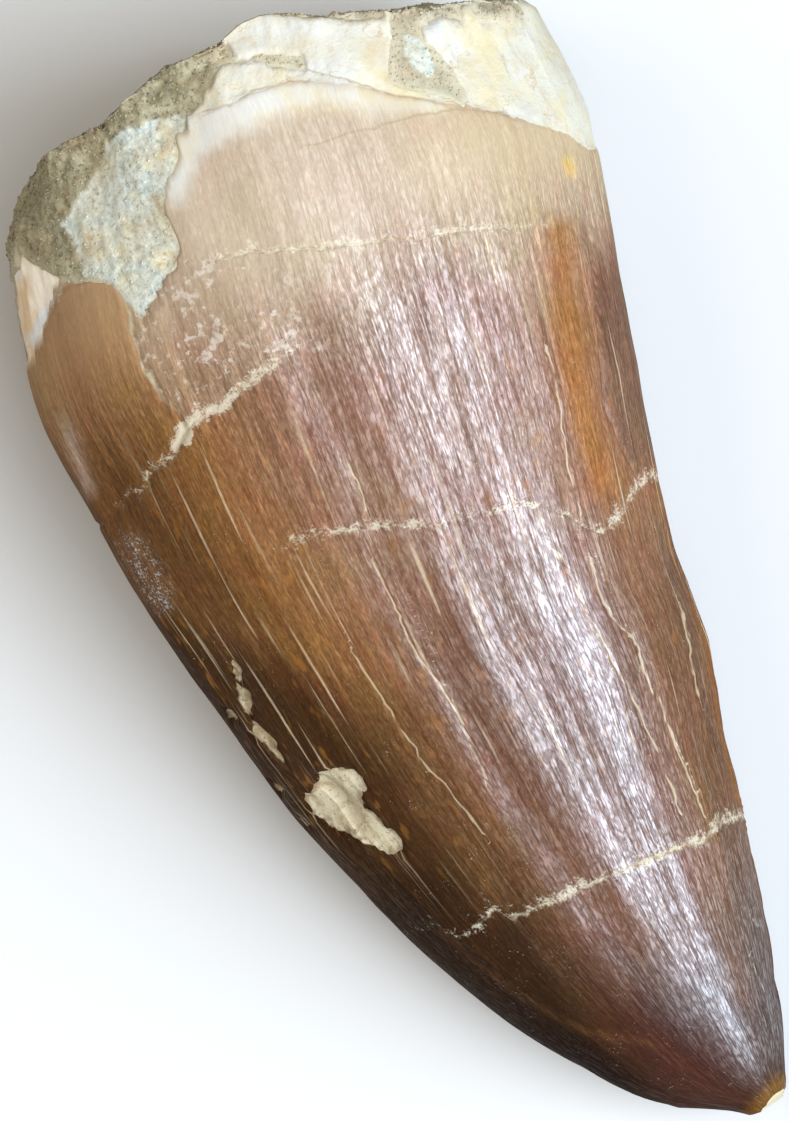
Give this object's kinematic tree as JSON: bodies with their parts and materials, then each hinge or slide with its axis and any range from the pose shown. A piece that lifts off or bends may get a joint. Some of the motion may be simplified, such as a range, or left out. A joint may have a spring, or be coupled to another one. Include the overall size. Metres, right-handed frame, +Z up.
{
  "type": "fossil mosasaur tooth",
  "caption": "Fossil mosasaur tooth lying on its side: brown striated crown with cutting edges, cracks, chips and a worn tip, a cream broken root, and sandy matrix on the break.",
  "frame": {"origin": "under the middle of the tooth's footprint, on the surface it lies on", "axes": "+Y along the tooth from the tip to the broken root, +X towards its trailing cutting edge, +Z up from the surface it lies on"},
  "size_m": [0.0272, 0.0524, 0.0209],
  "materials": {
    "enamel": "gloss",
    "sediment": "matte"
  },
  "bodies": {
    "root": {"tooth": "enamel", "matrix": "sediment"}
  },
  "joints": []
}
